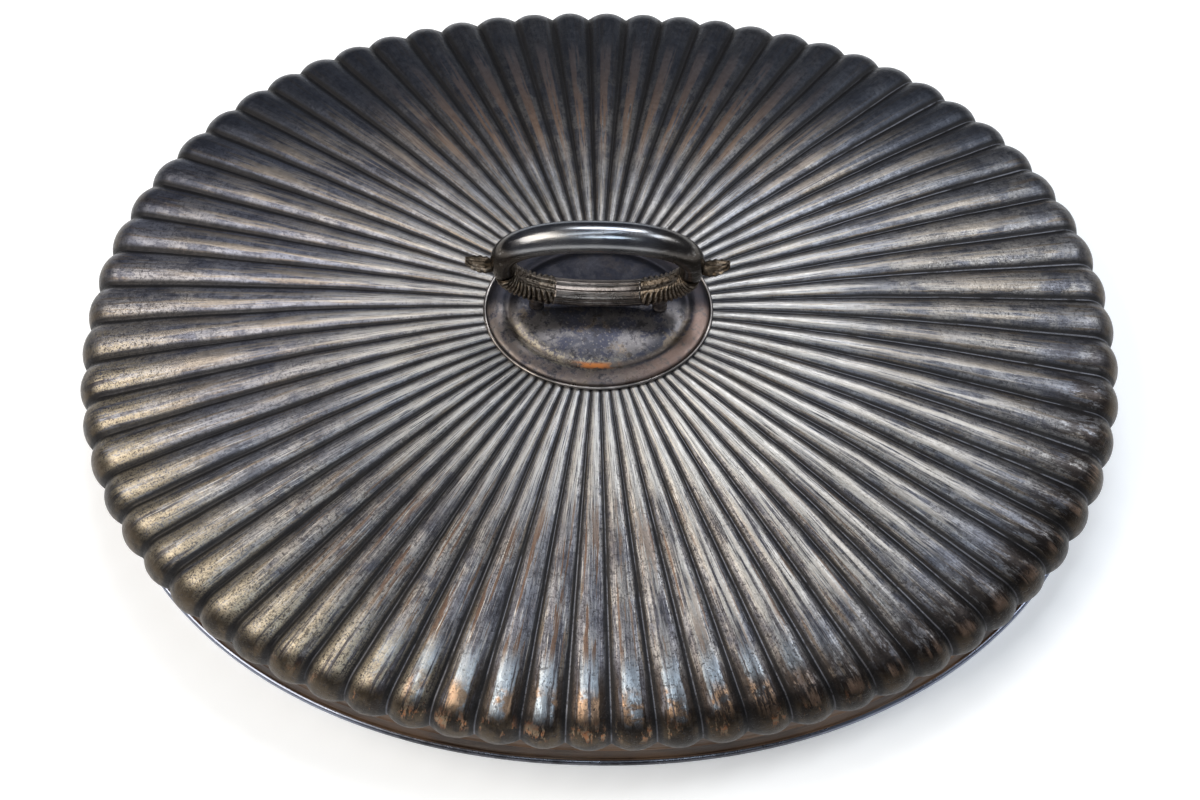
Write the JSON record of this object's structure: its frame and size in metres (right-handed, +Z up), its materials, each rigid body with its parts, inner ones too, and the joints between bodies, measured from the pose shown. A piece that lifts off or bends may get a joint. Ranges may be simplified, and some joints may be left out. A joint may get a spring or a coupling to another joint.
{
  "type": "dish cover",
  "caption": "Oval fluted dish cover with a plain rim band and an upright loop handle that lifts off once the wing nuts inside are undone.",
  "frame": {"origin": "centre of the foot, on the surface that the cover stands on", "axes": "+X along the cover's length, +Y towards its back, +Z up through the crown and the handle"},
  "size_m": [0.4594, 0.3716, 0.1364],
  "materials": {
    "dome_silver": "dark tarnished silver plate, worn to copper in streaks",
    "band_silver": "dark brown tarnish over silver plate",
    "wire_silver": "dark tarnish with a worn bright edge",
    "crown_silver": "mottled grey tarnish, rubbed to copper on the border",
    "bright_silver": "rubbed silver",
    "inner_silver": "dull grey silver plate",
    "grip_silver": "silver polished by hands, brown tarnish underneath",
    "bar_silver": "tarnished cast silver plate with bright ridges",
    "leaf_silver": "brown tarnish in the carving with bright worn tips",
    "stud_steel": "dull steel thread",
    "nut_brass": "dull old brass"
  },
  "bodies": {
    "cover": {"fluted_dome": "dome_silver", "rim_band": "band_silver", "rim_wire": "wire_silver", "crown_plate": "crown_silver", "crown_wire": "bright_silver", "backing_plate": "inner_silver"},
    "handle": {"handle_grip": "grip_silver", "reeded_bar": "bar_silver", "left_leaf_arm": "leaf_silver", "right_leaf_arm": "leaf_silver", "left_ear": "leaf_silver", "right_ear": "leaf_silver", "left_foot": "bar_silver", "right_foot": "bar_silver", "left_stud": "stud_steel", "right_stud": "stud_steel"},
    "left_washer": {"left_washer": "nut_brass"},
    "right_washer": {"right_washer": "nut_brass"},
    "left_nut": {"left_wing_nut": "nut_brass"},
    "right_nut": {"right_wing_nut": "nut_brass"}
  },
  "joints": [
    {"name": "handle_lift", "type": "slide", "parent": "cover", "child": "handle", "axis": [0, 0, 1], "range_m": [0, 0.04]},
    {"name": "left_washer_drop", "type": "slide", "parent": "cover", "child": "left_washer", "axis": [0, 0, -1], "range_m": [0, 0.0042]},
    {"name": "right_washer_drop", "type": "slide", "parent": "cover", "child": "right_washer", "axis": [0, 0, -1], "range_m": [0, 0.0042]},
    {"name": "left_nut_turn", "type": "hinge", "parent": "left_washer", "child": "left_nut", "pos_m": [-0.0265, 0, 0.066], "axis": [0, 0, -1], "range_deg": [0, 2160]},
    {"name": "right_nut_turn", "type": "hinge", "parent": "right_washer", "child": "right_nut", "pos_m": [0.0265, 0, 0.066], "axis": [0, 0, -1], "range_deg": [0, 2160]}
  ],
  "couplings": [
    {"joint": "left_washer_drop", "follows": "left_nut_turn", "m_per_rad": 0.00011141},
    {"joint": "right_washer_drop", "follows": "right_nut_turn", "m_per_rad": 0.00011141}
  ]
}
